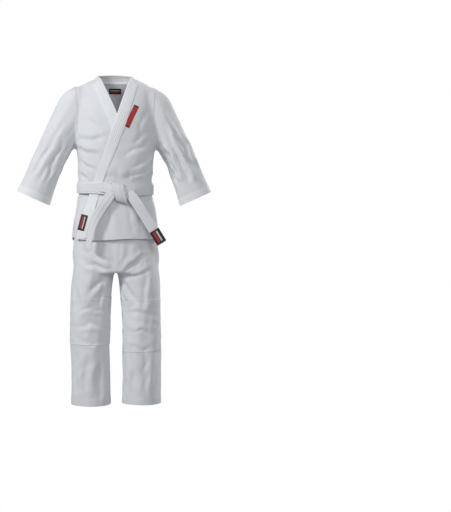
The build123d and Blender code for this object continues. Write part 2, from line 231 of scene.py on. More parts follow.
def wobble(v, wave, seed, layers=5):
    """Smooth random field of about unit size; wave is the length of its features in mm, one or three."""
    random = np.random.default_rng(seed)
    total = np.zeros(len(v))
    for _ in range(layers):
        direction = random.normal(size=3)
        direction /= np.linalg.norm(direction)
        k = 2 * math.pi * direction / np.array(wave, float) * random.uniform(0.7, 1.5)
        total += np.sin(v @ k + random.uniform(0, 6.3))
    return total / math.sqrt(layers)


def fold(v, n, path, width, depth, side, seed):
    """Height of one fold along an (x, z) path on the front (-1) or back (1): a crease beside a swell."""
    path = np.array(path, float)
    drift = np.stack([wobble(v, 70, seed + 1, 3), wobble(v, 70, seed + 2, 3)], axis=1)
    p = v[:, [0, 2]] + 5.0 * drift
    length = np.concatenate([[0], np.cumsum(np.linalg.norm(np.diff(path, axis=0), axis=1))])
    best = np.full(len(v), 1e9)
    signed, along = np.zeros(len(v)), np.zeros(len(v))
    for i, (a, b) in enumerate(zip(path[:-1], path[1:])):
        d = b - a
        t = np.clip(((p - a) @ d) / (d @ d), 0, 1)
        gap = p - (a + t[:, None] * d)
        distance = np.linalg.norm(gap, axis=1)
        closer = distance < best
        best = np.where(closer, distance, best)
        signed = np.where(closer, np.sign(d[0] * gap[:, 1] - d[1] * gap[:, 0]) * distance, signed)
        along = np.where(closer, (length[i] + t * np.linalg.norm(d)) / length[-1], along)
    taper = np.sin(math.pi * np.clip(along, 0.02, 0.98)) ** 0.7
    u = signed / width
    shape = np.exp(-u * u) * 0.9 - 1.15 * np.exp(-((u + 1.25) / 0.62) ** 2)
    facing = ramp(n[:, 1] * side, -0.15, 0.45)
    return depth * shape * taper * facing


def capped(height, most, least):
    """Heights that level off at most above the skin and least below it."""
    return np.where(height > 0, most * np.tanh(height / most), least * np.tanh(height / least))


def ridged(v, wave, seed):
    """Soft creases: thin valleys between broad swells."""
    return 0.6 - np.abs(wobble(v, wave, seed, 4)) ** 0.8


# ---- skins ---------------------------------------------------------------------------------------
def level(row):
    z, a, b, y = row
    return np.array([0, y, z]), np.array([a, 0, 0]), np.array([0, b, 0])


def seat_ring(row):
    return np.array([0, 0, row[0]]), np.array([row[1], 0, 0]), np.array([0, row[2], 0])


def sleeve_ring(side):
    def place(row):
        s, a, b, shift = row
        centre = CUFF + UP * s + OUT * shift
        mirror = np.array([side, 1, 1])
        return centre * mirror, OUT * a * mirror, np.array([0, b, 0])
    return place


def leg_ring(side):
    def place(row):
        return np.array([side * row[3], 0, row[0]]), np.array([row[1], 0, 0]), np.array([0, row[2], 0])
    return place


torso_rows = sampled(TORSO, 8, 12)
sleeve_rows = sampled(SLEEVE, 8, 12)
seat_rows = sampled(SEAT, 8, 14)
leg_rows = sampled(LEG, 8, 14)
arms = [tube(sleeve_rows, sleeve_ring(side)) for side in (1, -1)]
legs = [tube(leg_rows, leg_ring(side)) for side in (1, -1)]
JV, JF = union([tube(torso_rows, level)] + arms, 14)
TV, TF = union([tube(seat_rows, seat_ring)] + legs, 10)


def sleeve_place(v):
    """Distance up the sleeve from the cuff, sideways offset from its axis, and which side, for each point."""
    p = v.copy()
    p[:, 0] = np.abs(p[:, 0])
    d = p - CUFF
    return d @ UP, d @ OUT, np.sign(v[:, 0])


def armhole(v):
    """Above zero on the sleeves, below it on the body."""
    seam = 170 - 14 * np.clip(np.sin(math.pi * (v[:, 2] - 1085) / 262), 0, 1)
    low = ramp(v[:, 2], 1040, 1092)
    beside = np.abs(v[:, 0]) - seam
    outside = np.abs(v[:, 0]) - (186 + (1090 - v[:, 2]) * 0.10)
    return np.where(v[:, 2] > 1090, beside, low * beside + (1 - low) * outside)


JN = normals(JV, JF)
along, offset, hand = sleeve_place(JV)
on_sleeve = ramp(armhole(JV), -14, 10)
x, y, z = JV.T
bump = np.zeros(len(JV))

# each fold is its (x, height) path, width, depth, and whether it is on the front (-1) or the back (1)
# sleeves: long folds from the armpit down the arm, stronger on the wearer's left, with soft creases between
SLEEVE_FOLDS = [
    ([(196, 1120), (252, 1010), (300, 900)], 11, 9.0, -1),
    ([(216, 1170), (284, 1040), (352, 905)], 12, 8.0, -1),
    ([(228, 1225), (300, 1110), (362, 985)], 13, 4.5, -1),
    ([(184, 1108), (226, 1030), (268, 930)], 9, 4.5, -1),
    ([(246, 1105), (298, 1000), (330, 905)], 8, 3.5, -1),
    ([(230, 1050), (262, 960), (292, 880)], 8, 3.5, -1),
    ([(-190, 1115), (-240, 1015), (-290, 905)], 11, 5.0, -1),
    ([(-206, 1165), (-268, 1060), (-330, 960)], 12, 4.2, -1),
    ([(-240, 1180), (-300, 1080), (-352, 960)], 13, 3.4, -1),
    ([(-262, 1010), (-300, 940), (-332, 880)], 9, 3.2, -1),
    ([(-182, 1100), (-214, 1030), (-240, 960)], 8, 3.5, -1),
    ([(190, 1110), (236, 1000), (290, 885)], 12, 5.5, 1),
    ([(206, 1165), (270, 1055), (330, 950)], 12, 4.5, 1),
    ([(236, 1190), (300, 1090), (352, 975)], 13, 3.4, 1),
    ([(-190, 1110), (-236, 1000), (-290, 885)], 12, 5.0, 1),
    ([(-206, 1170), (-276, 1050), (-338, 930)], 12, 5.0, 1),
    ([(-240, 1195), (-306, 1090), (-350, 990)], 13, 3.4, 1),
]
for i, (path, width, depth, side) in enumerate(SLEEVE_FOLDS):
    bump += fold(JV, JN, path, width, depth, side, seed=10 * i) * on_sleeve
sleeve_frame = np.stack([offset, y, along], axis=1) + hand[:, None] * 37
bump += on_sleeve * 1.5 * ridged(sleeve_frame, (46, 46, 190), 5) * ramp(along, 20, 80)

# body: blousing above the belt, drag lines from the armpits, and small creases round the belt
on_body = 1 - on_sleeve
BODY_FOLDS = [
    ([(150, 1098), (96, 1060), (40, 1030)], 12, 3.2, -1),
    ([(160, 1060), (120, 1015), (70, 985)], 11, 3.2, -1),
    ([(-158, 1100), (-110, 1072), (-60, 1062)], 13, 3.4, -1),
    ([(-152, 1050), (-110, 1014), (-72, 990)], 11, 3.0, -1),
    ([(-150, 1135), (-92, 1120), (-40, 1140)], 14, 2.6, -1),
    ([(158, 1150), (118, 1120), (84, 1080)], 13, 2.4, -1),
    ([(140, 985), (100, 962), (62, 952)], 8, 3.0, -1),
    ([(-142, 982), (-118, 962), (-92, 950)], 8, 3.0, -1),
    ([(-120, 1240), (-70, 1180), (-34, 1110)], 16, 1.8, -1),
    ([(150, 1240), (128, 1190), (112, 1130)], 15, 1.8, -1),
    ([(164, 1120), (120, 1040), (100, 985)], 13, 4.0, 1),
    ([(-164, 1120), (-120, 1040), (-100, 985)], 13, 4.0, 1),
    ([(150, 1160), (96, 1110), (56, 1040)], 15, 2.6, 1),
    ([(-150, 1160), (-96, 1110), (-56, 1040)], 15, 2.6, 1),
    ([(146, 1040), (124, 1000), (112, 968)], 8, 3.0, 1),
    ([(-146, 1040), (-124, 1000), (-112, 968)], 8, 3.0, 1),
    ([(120, 860), (126, 800), (132, 730)], 18, 2.2, -1),
    ([(-20, 850), (-6, 780), (0, 716)], 18, 2.0, -1),
    ([(-150, 860), (-156, 790), (-160, 720)], 14, 2.2, -1),
    ([(70, 850), (84, 780), (90, 720)], 15, 1.8, -1),
    ([(-100, 870), (-110, 800), (-112, 720)], 16, 1.8, 1),
    ([(110, 870), (118, 800), (124, 720)], 16, 1.8, 1),
]
for i, (path, width, depth, side) in enumerate(BODY_FOLDS):
    bump += fold(JV, JN, path, width, depth, side, seed=200 + 10 * i) * on_body
near_belt = np.exp(-((z - 965) / 26) ** 2) + 0.8 * np.exp(-((z - 868) / 24) ** 2)
turn = np.arctan2(y, x)
gathers = ridged(np.stack([turn * 150, 0 * x, z * 0.25], axis=1), 58, 17)
bump += on_body * near_belt * (2.4 * gathers + 1.2 * wobble(JV, 42, 18))
bump += on_body * 1.5 * wobble(JV, (120, 150, 170), 21) * ramp(np.abs(z - BELT), 26, 60)
bump += on_body * 0.8 * ridged(JV, (80, 90, 60), 33) * ramp(z, 985, 1020) * (1 - ramp(z, 1240, 1330))
bump *= 1 - 0.85 * ramp(z, 1325, 1352)
bump *= 0.25 + 0.75 * ramp(np.abs(z - BELT), 24, 44)
JV = JV + JN * capped(1.55 * bump, 11, 15)[:, None]
JV = relax(JV, JF, 2, 0.4)
JN = relax(normals(JV, JF), JF, 3)
JN /= np.linalg.norm(JN, axis=1, keepdims=True)

# trousers: folds that fan out from the crotch, creased knee patches, soft long folds down the shins
TN = normals(TV, TF)
x, y, z = TV.T
bump = np.zeros(len(TV))
LEG_FOLDS = [
    ([(12, 572), (60, 610), (130, 650)], 12, 4.6, -1),
    ([(-12, 572), (-60, 608), (-128, 640)], 12, 4.6, -1),
    ([(14, 560), (70, 560), (150, 590)], 13, 4.0, -1),
    ([(-14, 560), (-72, 566), (-150, 600)], 13, 4.0, -1),
    ([(20, 548), (62, 500), (90, 450)], 12, 4.4, -1),
    ([(-20, 548), (-66, 498), (-104, 452)], 12, 4.4, -1),
    ([(26, 530), (44, 470), (60, 410)], 11, 3.4, -1),
    ([(-26, 530), (-44, 470), (-56, 410)], 11, 3.4, -1),
    ([(2, 680), (0, 620), (0, 575)], 9, 3.0, -1),
    ([(40, 690), (30, 640), (12, 590)], 12, 2.8, -1),
    ([(150, 560), (140, 480), (130, 400)], 17, 3.0, -1),
    ([(-152, 560), (-144, 480), (-140, 400)], 17, 3.0, -1),
    ([(40, 400), (90, 420), (150, 395)], 10, 2.6, -1),
    ([(-40, 380), (-100, 404), (-160, 380)], 10, 2.6, -1),
    ([(50, 320), (104, 340), (160, 300)], 11, 2.6, -1),
    ([(-54, 310), (-110, 334), (-166, 310)], 11, 2.6, -1),
    ([(60, 270), (110, 252), (150, 264)], 10, 2.0, -1),
    ([(-50, 262), (-100, 250), (-150, 268)], 10, 2.0, -1),
    ([(86, 225), (96, 130), (92, 30)], 20, 3.4, -1),
    ([(-92, 225), (-100, 130), (-104, 30)], 20, 3.4, -1),
    ([(142, 230), (140, 130), (146, 40)], 16, 2.8, -1),
    ([(-142, 230), (-146, 130), (-144, 40)], 16, 2.8, -1),
    ([(48, 200), (52, 110), (50, 20)], 13, 2.4, -1),
    ([(-48, 200), (-50, 110), (-56, 20)], 13, 2.4, -1),
    ([(10, 566), (70, 600), (140, 628)], 13, 4.4, 1),
    ([(-10, 566), (-70, 600), (-140, 622)], 13, 4.4, 1),
    ([(16, 552), (80, 548), (150, 556)], 13, 4.0, 1),
    ([(-16, 552), (-80, 546), (-150, 556)], 13, 4.0, 1),
    ([(24, 536), (70, 480), (110, 440)], 12, 4.0, 1),
    ([(-24, 536), (-70, 480), (-110, 440)], 12, 4.0, 1),
    ([(40, 400), (100, 380), (160, 396)], 12, 3.4, 1),
    ([(-40, 396), (-100, 378), (-160, 392)], 12, 3.4, 1),
    ([(44, 350), (100, 336), (156, 352)], 11, 3.0, 1),
    ([(-44, 352), (-100, 338), (-156, 350)], 11, 3.0, 1),
    ([(100, 300), (104, 180), (100, 60)], 20, 3.2, 1),
    ([(-100, 300), (-104, 180), (-100, 60)], 20, 3.2, 1),
    ([(4, 690), (0, 630), (0, 575)], 9, 3.0, 1),
]
for i, (path, width, depth, side) in enumerate(LEG_FOLDS):
    bump += fold(TV, TN, path, width, depth, side, seed=500 + 10 * i)
bump += 1.4 * wobble(TV, (90, 90, 240), 41) + 1.3 * ridged(TV, (60, 70, 150), 43) * (1 - ramp(z, 640, 720))
bump += 1.1 * ridged(TV, (70, 80, 46), 47) * np.exp(-((z - 345) / 85) ** 2)
bump *= 0.35 + 0.65 * ramp(z, -5, 50)
bump *= np.where(np.abs(x) < 30, 0.35 + 0.65 * ramp(np.abs(x), 6, 30), 1)
TV = TV + TN * capped(1.6 * bump, 10, 14)[:, None]
TV = relax(TV, TF, 2, 0.4)
TN = relax(normals(TV, TF), TF, 3)
TN /= np.linalg.norm(TN, axis=1, keepdims=True)


# ---- cloth coordinates, so that the weave stays on the cloth when it moves -----------------------
def jacket_weave(v):
    along, offset, _ = sleeve_place(v)
    sleeve = armhole(v) > 0
    u = np.where(sleeve, np.arctan2(v[:, 1], offset) * 66, np.arctan2(v[:, 1], v[:, 0]) * 160)
    return np.stack([u, np.where(sleeve, along, v[:, 2])], axis=1) / 1000


def leg_weave(v):
    centre = 100 * np.sign(v[:, 0])
    seat = ramp(v[:, 2], 560, 660)
    u = np.arctan2(v[:, 1], v[:, 0] - centre * (1 - seat)) * (82 + 80 * seat)
    return np.stack([u, v[:, 2]], axis=1) / 1000


def piece(name, verts, faces, material, weave, thick, body="jacket", span=None, replaces=(), slot="cotton"):
    """Makes one shown piece: a panel thickened inwards, riding a body, or left unattached when span is given.

    weave is each point's place on the cloth; span is (body, next body, start, end), and when it is given the
    piece keeps its place with its transform baked, and no bend is made.
    """
    mesh = mesh_from(name, verts, faces)
    obj = bpy.data.objects.new(name, mesh)
    bpy.context.scene.collection.objects.link(obj)
    mesh.materials.append(material)
    layer = mesh.uv_layers.new(name="weave")
    index = np.empty(len(mesh.loops), int)
    mesh.loops.foreach_get("vertex_index", index)
    layer.data.foreach_set("uv", np.asarray(weave)[index].astype(np.float32).ravel())
    mesh.polygons.foreach_set("use_smooth", [True] * len(mesh.polygons))
    solid = obj.modifiers.new("cloth", "SOLIDIFY")
    solid.thickness, solid.offset, solid.use_even_offset = thick / 1000, -1, False
    bpy.context.view_layer.update()
    final = bpy.data.meshes.new_from_object(obj.evaluated_get(bpy.context.evaluated_depsgraph_get()))
    obj.modifiers.clear()
    obj.data = final
    final.name = name
    final.set_sharp_from_angle(angle=math.radians(48))
    if span:
        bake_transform(obj)
    else:
        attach(obj, body)
    if replaces:
        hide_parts(*replaces)
    return obj


# ---- materials -----------------------------------------------------------------------------------
def cloth_material(name, colour, kind):
    """Woven cloth: 'pearl' is the grainy jacket weave, 'drill' the finer twill, 'band' rows of stitching."""
    material = bpy.data.materials.new(name)
    material.use_nodes = True
    nodes, links = material.node_tree.nodes, material.node_tree.links
    shader = nodes["Principled BSDF"]
    shader.inputs["Roughness"].default_value = 0.85
    shader.inputs["Specular IOR Level"].default_value = 0.18
    shader.inputs["Sheen Weight"].default_value = 0.12
    uv = nodes.new("ShaderNodeUVMap")
    uv.uv_map = "weave"

    def math_node(operation, a, b=None, c=None):
        node = nodes.new("ShaderNodeMath")
        node.operation = operation
        for socket, value in zip(node.inputs, (a, b, c)):
            if value is None:
                continue
            if isinstance(value, (int, float)):
                socket.default_value = value
            else:
                links.new(value, socket)
        return node.outputs[0]

    split = nodes.new("ShaderNodeSeparateXYZ")
    links.new(uv.outputs[0], split.inputs[0])
    u, v = split.outputs[0], split.outputs[1]
    if kind == "pearl":
        # rice-grain weave: offset rows of small raised grains, 3 mm by 2.4 mm
        row = math_node("FLOOR", math_node("MULTIPLY", v, 420))
        shift = math_node("MULTIPLY", math_node("MODULO", row, 2), 0.5)
        phase = math_node("ADD", math_node("MULTIPLY", u, 330), shift)
        across = math_node("SINE", math_node("MULTIPLY", phase, 2 * math.pi))
        down = math_node("ABSOLUTE", math_node("SINE", math_node("MULTIPLY", v, 420 * math.pi)))
        height = math_node("MULTIPLY", math_node("ADD", across, 1.2), down)
        strength, distance = 0.34, 0.0009
    elif kind == "drill":
        twill = math_node("ADD", math_node("MULTIPLY", u, 0.9), v)
        height = math_node("SINE", math_node("MULTIPLY", twill, 2 * math.pi * 560))
        strength, distance = 0.22, 0.0005
    else:
        # v runs across the band, and each row of stitching pulls the band in along a thin groove
        rows = math_node("ABSOLUTE", math_node("SINE", math_node("MULTIPLY", v, 1000 * math.pi / 7.2)))
        groove = math_node("POWER", rows, 0.35)
        stitch = math_node("SINE", math_node("MULTIPLY", u, 2 * math.pi * 300))
        in_groove = math_node("SUBTRACT", 1.0, groove)
        thread = math_node("MULTIPLY", math_node("MULTIPLY", stitch, 0.25), in_groove)
        height = math_node("ADD", groove, thread)
        strength, distance = 0.8, 0.0014
    noise = nodes.new("ShaderNodeTexNoise")
    noise.inputs["Scale"].default_value = 900
    links.new(uv.outputs[0], noise.inputs["Vector"])
    grain = math_node("MULTIPLY_ADD", noise.outputs[0], 0.7, height)
    bump = nodes.new("ShaderNodeBump")
    bump.inputs["Strength"].default_value = strength
    bump.inputs["Distance"].default_value = distance
    links.new(grain, bump.inputs["Height"])
    links.new(bump.outputs[0], shader.inputs["Normal"])
    # broad uneven tone, and painted shade between the threads: the colour follows the weave's height, darker
    # in its low points and in the stitching grooves, with the fine random grain mixed in
    broad = nodes.new("ShaderNodeTexNoise")
    broad.inputs["Scale"].default_value = 9
    links.new(uv.outputs[0], broad.inputs["Vector"])
    # painted shade: darker colour in the weave's hollows and the stitching grooves, plus some fine random
    # grain
    thread_shade = math_node("MULTIPLY", grain, 0.045 if kind == "band" else 0.018)
    tone_and_thread_shade = math_node("ADD", math_node("MULTIPLY", broad.outputs[0], 0.05), thread_shade)
    mix = nodes.new("ShaderNodeMix")
    mix.data_type = "RGBA"
    mix.inputs[6].default_value = [c * 0.93 for c in colour] + [1]
    mix.inputs[7].default_value = [min(1, c * 1.03) for c in colour] + [1]
    spread = nodes.new("ShaderNodeMapRange")
    spread.inputs[1].default_value, spread.inputs[2].default_value = 0.0, 0.08
    links.new(tone_and_thread_shade, spread.inputs[0])
    links.new(spread.outputs[0], mix.inputs[0])
    links.new(mix.outputs[2], shader.inputs["Base Color"])
    return material


def label_material(name, field, border, stripes):
    """Woven label: uv runs 0 to 1 across it; stripes are (low, high, colour) across v, inside a border."""
    material = bpy.data.materials.new(name)
    material.use_nodes = True
    nodes, links = material.node_tree.nodes, material.node_tree.links
    shader = nodes["Principled BSDF"]
    shader.inputs["Roughness"].default_value = 0.6
    uv = nodes.new("ShaderNodeUVMap")
    uv.uv_map = "weave"
    split = nodes.new("ShaderNodeSeparateXYZ")
    links.new(uv.outputs[0], split.inputs[0])

    def within(socket, low, high):
        above, below, inside = (nodes.new("ShaderNodeMath") for _ in range(3))
        above.operation, below.operation, inside.operation = "GREATER_THAN", "LESS_THAN", "MULTIPLY"
        above.inputs[1].default_value, below.inputs[1].default_value = low, high
        links.new(socket, above.inputs[0])
        links.new(socket, below.inputs[0])
        links.new(above.outputs[0], inside.inputs[0])
        links.new(below.outputs[0], inside.inputs[1])
        return inside.outputs[0]

    def over(base, colour, mask):
        mix = nodes.new("ShaderNodeMix")
        mix.data_type = "RGBA"
        if isinstance(base, tuple):
            mix.inputs[6].default_value = (*base, 1)
        else:
            links.new(base, mix.inputs[6])
        mix.inputs[7].default_value = (*colour, 1)
        links.new(mask, mix.inputs[0])
        return mix.outputs[2]

    def both(a, b):
        node = nodes.new("ShaderNodeMath")
        node.operation = "MULTIPLY"
        links.new(a, node.inputs[0])
        links.new(b, node.inputs[1])
        return node.outputs[0]

    inner_u, inner_v = within(split.outputs[0], 0.06, 0.94), within(split.outputs[1], 0.1, 0.9)
    colour = over(border, field, both(inner_u, inner_v))
    for low, high, shade in stripes:
        stripe = both(within(split.outputs[0], 0.12, 0.88), within(split.outputs[1], low, high))
        colour = over(colour, shade, stripe)
    weave = nodes.new("ShaderNodeTexNoise")
    weave.inputs["Scale"].default_value = 60
    links.new(uv.outputs[0], weave.inputs["Vector"])
    vary = nodes.new("ShaderNodeMix")
    vary.data_type, vary.blend_type = "RGBA", "MULTIPLY"
    vary.inputs[0].default_value = 0.35
    links.new(colour, vary.inputs[6])
    links.new(weave.outputs[0], vary.inputs[7])
    links.new(vary.outputs[2], shader.inputs["Base Color"])
    bump = nodes.new("ShaderNodeBump")
    bump.inputs["Strength"].default_value, bump.inputs["Distance"].default_value = 0.3, 0.0004
    links.new(weave.outputs[0], bump.inputs["Height"])
    links.new(bump.outputs[0], shader.inputs["Normal"])
    return material


WHITE = (0.765, 0.778, 0.808)
pearl = cloth_material("pearl weave cotton", WHITE, "pearl")
drill = cloth_material("cotton drill", WHITE, "drill")
band = cloth_material("stitched band", (0.82, 0.835, 0.86), "band")
strap = cloth_material("belt webbing", (0.74, 0.752, 0.782), "band")
BLACK, RED, PALE = (0.012, 0.012, 0.014), (0.62, 0.015, 0.012), (0.75, 0.70, 0.66)
badge = label_material("red badge", RED, BLACK, [])
label = label_material("striped label", BLACK, BLACK, [(0.24, 0.44, RED), (0.56, 0.72, PALE)])
tab = label_material("size tab", (0.7, 0.7, 0.7), (0.75, 0.75, 0.75), [])


# ---- edges of the crossed fronts, as (x, height) seen from the front -----------------------------
OUTER_IN = np.array([(67, 1387), (5, 1206), (-90, 925), (-160, 700)], float)
OUTER_OUT = np.array([(99, 1360), (40, 1167), (-48, 943), (-116, 705)], float)
INNER_IN = np.array([(-65, 1387), (6, 1226), (92, 925), (124, 706)], float)
INNER_OUT = np.array([(-98, 1360), (-30, 1196), (52, 925), (84, 706)], float)


def edge_x(edge, height):
    return np.interp(height, edge[::-1, 1], edge[::-1, 0])


# ---- jacket panels -------------------------------------------------------------------------------
weave_j = jacket_weave(JV)
x, y, z = JV.T
yc = np.interp(z, [r[0] for r in TORSO], [r[3] for r in TORSO])
ah = armhole(JV)
fore = yc - y  # above zero in front of the side seams
hem_front = FRONT_HEM + 3 * np.sin(x / 45)
hem_back = BACK_HEM + 2.5 * np.sin(x / 50 + 1)
neck = 1364 - z + 6 * ramp(np.abs(x), 60, 110)
outer_lift = LIFT * ramp(fore, 2, 40) * ramp(-ah, 2, 46)


def lifted(height):
    return JV + JN * (height[:, None] if isinstance(height, np.ndarray) else height)


def panel(name, fields, height, material, thick, **how):
    v, f, w = cut_out(lifted(height), JF, fields, weave_j)
    return piece(name, v, f, material, w, thick, **how)


BACK_SPAN = ("jacket", "back_skirt", (0, 0, VENT + 26), (0, 0, VENT - 26))
panel("jacket_back", [-fore, -ah, z - SEAM, neck], 0.0, pearl, CLOTH,
      replaces=["jacket_back_left", "jacket_back_right"])
panel("skirt_back", [-fore, -ah, SEAM - z, z - hem_back], 0.4, drill, CLOTH, span=BACK_SPAN,
      replaces=["skirt_back_yoke", "skirt_back_flap"])
right_limit = edge_x(INNER_IN, z) - 6 - x
left_limit = x - edge_x(OUTER_IN, z) - 6
body_right = [fore, -ah, neck, right_limit]
body_left = [fore, -ah, neck, left_limit]
skirt_right = body_right + [BELT - z, z - hem_front]
skirt_left = body_left + [BELT - z, z - hem_front + 6]
panel("jacket_front_right", body_right + [z - BELT], 0.0, pearl, CLOTH, replaces=["jacket_front_right"])
panel("jacket_front_left", body_left + [z - BELT], outer_lift, pearl, CLOTH, replaces=["jacket_front_left"])
panel("skirt_front_right", skirt_right, 0.0, drill, CLOTH, replaces=["skirt_front_right"])
panel("skirt_front_left", skirt_left, outer_lift, drill, CLOTH, replaces=["skirt_front_left"])
panel("shoulder_lining", [-fore, -ah, neck + 4, z - 1225], -3.2, drill, 1.2, replaces=["shoulder_lining"])

along_j = sleeve_place(JV)[0]
for side, name in ((1, "left"), (-1, "right")):
    own = x * side
    # the sleeve's span is a slanting band below the armpit
    arm = ("jacket", f"{name}_sleeve", (side * 184, 0, 1092), (side * 228.6, 0, 1065))
    elbow_top, elbow_low = (CUFF * [side, 1, 1] + UP * [side, 1, 1] * s for s in (190, 96))
    fore_arm = (f"{name}_sleeve", f"{name}_forearm", elbow_top, elbow_low)
    split = along_j - ELBOW_SPLIT
    upper_names = [f"sleeve_{name}_cap", f"armhole_seam_{name}", f"sleeve_{name}_upper"]
    panel(f"sleeve_{name}", [own, ah, split], 0.0, pearl, CLOTH, span=arm, replaces=upper_names)
    panel(f"forearm_{name}", [own, ah, -split, along_j], 0.0, pearl, CLOTH, span=fore_arm,
          replaces=[f"sleeve_{name}_forearm"])
    cuff = [own, ah, 30 - along_j, along_j + 0.6]
    panel(f"cuff_{name}_band", cuff, 1.1, band, 4.4, body=f"{name}_forearm",
          replaces=[f"cuff_{name}", f"cuff_facing_{name}"])
    stitching_lift = np.where(fore > 0, outer_lift * (side > 0), 0) + 1.0
    panel(f"armhole_stitching_{name}", [own, 3.2 - ah, 3.2 + ah, z - 1096], stitching_lift, band, 1.4)

# hems of the skirt, tapes over the back seams, gussets over the side vents
panel("hem_back", [-fore, -ah, hem_back + 22 - z, z - hem_back + 0.6], 1.3, drill, 1.0, span=BACK_SPAN)
panel("hem_front_right", body_right + [hem_front + 22 - z, z - hem_front + 0.6], 0.9, drill, 1.0)
panel("hem_front_left", body_left + [hem_front + 16 - z, z - hem_front + 6.6], outer_lift + 0.9, drill, 1.0)
panel("back_tape", [-fore, 6.5 - x, 6.5 + x, z - SEAM - 2, 1340 - z], 1.0, band, 1.2,
      replaces=["back_seam_tape"])
panel("waist_seam", [-fore, -ah, SEAM + 6.5 - z, z - SEAM + 2.5], 1.2, band, 1.4,
      replaces=["waist_seam_tape"])
for side, name in ((1, "left"), (-1, "right")):
    vent = [x * side - 60, -ah, 15 - fore, 15 + fore, VENT + 32 - z, z - VENT]
    panel(f"vent_{name}", vent, 1.0, drill, 1.2, replaces=[f"vent_gusset_{name}"])
    edging = [x * side - 60, -ah, -fore, fore + 9, VENT - z, z - hem_back]
    panel(f"vent_edge_{name}", edging, 1.2, drill, 1.0, span=BACK_SPAN)


# ---- collar band ---------------------------------------------------------------------------------
SKIN = BVHTree.FromPolygons([tuple(p) for p in JV.tolist()], [tuple(t) for t in JF.tolist()])


def on_front(px, pz, lift, back=False):
    """The point of the jacket's front at (x, height), or of its back seen from inside, lifted off it."""
    origin = (px, -5.0 if back else -400.0, pz)
    hit = SKIN.ray_cast(Vector(origin), Vector((0, 1, 0)))
    near = JN[JF[hit[2]]].mean(axis=0)
    near /= np.linalg.norm(near)
    return np.array(hit[0]) + near * lift


def through(keys, count):
    """Smooth run of key rows (each an array of numbers) sampled evenly, Catmull-Rom."""
    keys = np.array(keys, float)
    flat = keys.reshape(len(keys), -1)
    ext = np.vstack([2 * flat[0] - flat[1], flat, 2 * flat[-1] - flat[-2]])
    t = np.linspace(0, len(keys) - 1 - 1e-9, count)
    i = t.astype(int)
    u = (t - i)[:, None]
    p0, p1, p2, p3 = ext[i], ext[i + 1], ext[i + 2], ext[i + 3]
    square = (2 * p0 - 5 * p1 + 4 * p2 - p3) * u ** 2
    cube = (3 * p1 - p0 - 3 * p2 + p3) * u ** 3
    out = 0.5 * (2 * p1 + (p2 - p0) * u + square + cube)
    return out.reshape((count,) + keys.shape[1:])


FORWARDS = ("to", (0, -1, 0))


def grid(name, rows, material, thick, outward, weave=None, **how):
    """Panel from rows of points; its outward side faces the given direction, and it is thickened inwards."""
    rows = np.asarray(rows, float)
    n, m = rows.shape[:2]
    index = np.arange(n * m).reshape(n, m)
    quads = np.stack([index[:-1, :-1], index[:-1, 1:], index[1:, 1:], index[1:, :-1]], axis=-1).reshape(-1, 4)
    verts = rows.reshape(-1, 3)
    normal = np.cross(verts[quads[:, 1]] - verts[quads[:, 0]], verts[quads[:, 3]] - verts[quads[:, 0]])
    centre = verts[quads].mean(axis=1)
    direction = centre - np.array(outward[1]) if outward[0] == "from" else np.array(outward[1])
    if (normal * direction).sum() < 0:
        quads = quads[:, ::-1]
    if weave is None:
        run = np.concatenate([[0], np.cumsum(np.linalg.norm(np.diff(rows[:, m // 2], axis=0), axis=1))])
        wide = np.concatenate([[0], np.cumsum(np.linalg.norm(np.diff(rows[n // 2], axis=0), axis=1))])
        weave = np.stack(np.meshgrid(run, wide, indexing="ij"), axis=-1).reshape(-1, 2) / 1000
    return piece(name, verts, quads, material, weave, thick, **how)


def rounded(rows, centre, amount=1.2):
    """Turns a band's two edges down a little, away from the viewer's side."""
    rows = np.array(rows)
    c = np.linspace(-1, 1, rows.shape[1])
    dip = amount * np.abs(c) ** 7
    out = rows - np.array(centre)
    out /= np.linalg.norm(out, axis=-1, keepdims=True)
    return rows - out * dip[None, :, None]


COLUMNS = 13


def lapel_rows(inner, outer, lift, low, high, count):
    keys = np.linspace(0, 1, len(inner))
    rows = []
    for s in np.linspace(high, low, count):
        a = np.array([np.interp(s, keys, inner[:, k]) for k in (0, 1)])
        b = np.array([np.interp(s, keys, outer[:, k]) for k in (0, 1)])
        rows.append([on_front(*(a + (b - a) * c), lift) for c in np.linspace(0, 1, COLUMNS)])
    return np.array(rows, float)


left_rows = lapel_rows(OUTER_IN, OUTER_OUT, LIFT + 3.4, 1.0, 0.045, 90)
right_rows = lapel_rows(INNER_IN, INNER_OUT, 3.4, 1.0, 0.045, 90)
for rows in (left_rows, right_rows):
    smooth = rows.copy()
    for _ in range(8):
        smooth[1:-1] = 0.5 * smooth[1:-1] + 0.25 * (smooth[:-2] + smooth[2:])
        smooth[:, 1:-1] = 0.6 * smooth[:, 1:-1] + 0.2 * (smooth[:, :-2] + smooth[:, 2:])
    rows[:] = smooth

ring = []
for angle in (2, 32, 61, 90, 119, 148, 178):
    c, s = math.cos(math.radians(angle)), math.sin(math.radians(angle))
    top = np.array([74 * c, 13 + 50 * s, 1388 + 14 * s])
    base = np.array([98 * c, 9 + 68 * s, 1358 + 5 * s])
    bulge = np.array([c, s, 0]) * 3.0
    ring.append([top + (base - top) * t + bulge * math.sin(math.pi * t) for t in np.linspace(0, 1, COLUMNS)])
keys = [left_rows[6], left_rows[0]] + ring + [right_rows[0], right_rows[6]]
whole = through(keys, 10 * len(keys))
first = int(round((len(whole) - 1) / (len(keys) - 1)))
collar_rows = whole[first:len(whole) - first]
MIDDLE = (0, 20, 1180)
THROAT = (0, 14, 1340)
grid("lapel_left", rounded(left_rows, MIDDLE), band, 3.3, ("from", MIDDLE), slot="band",
     replaces=["left_lapel", "left_lapel_core"])
grid("lapel_right", rounded(right_rows, MIDDLE), band, 3.2, ("from", MIDDLE), slot="band",
     replaces=["right_lapel", "right_lapel_core"])
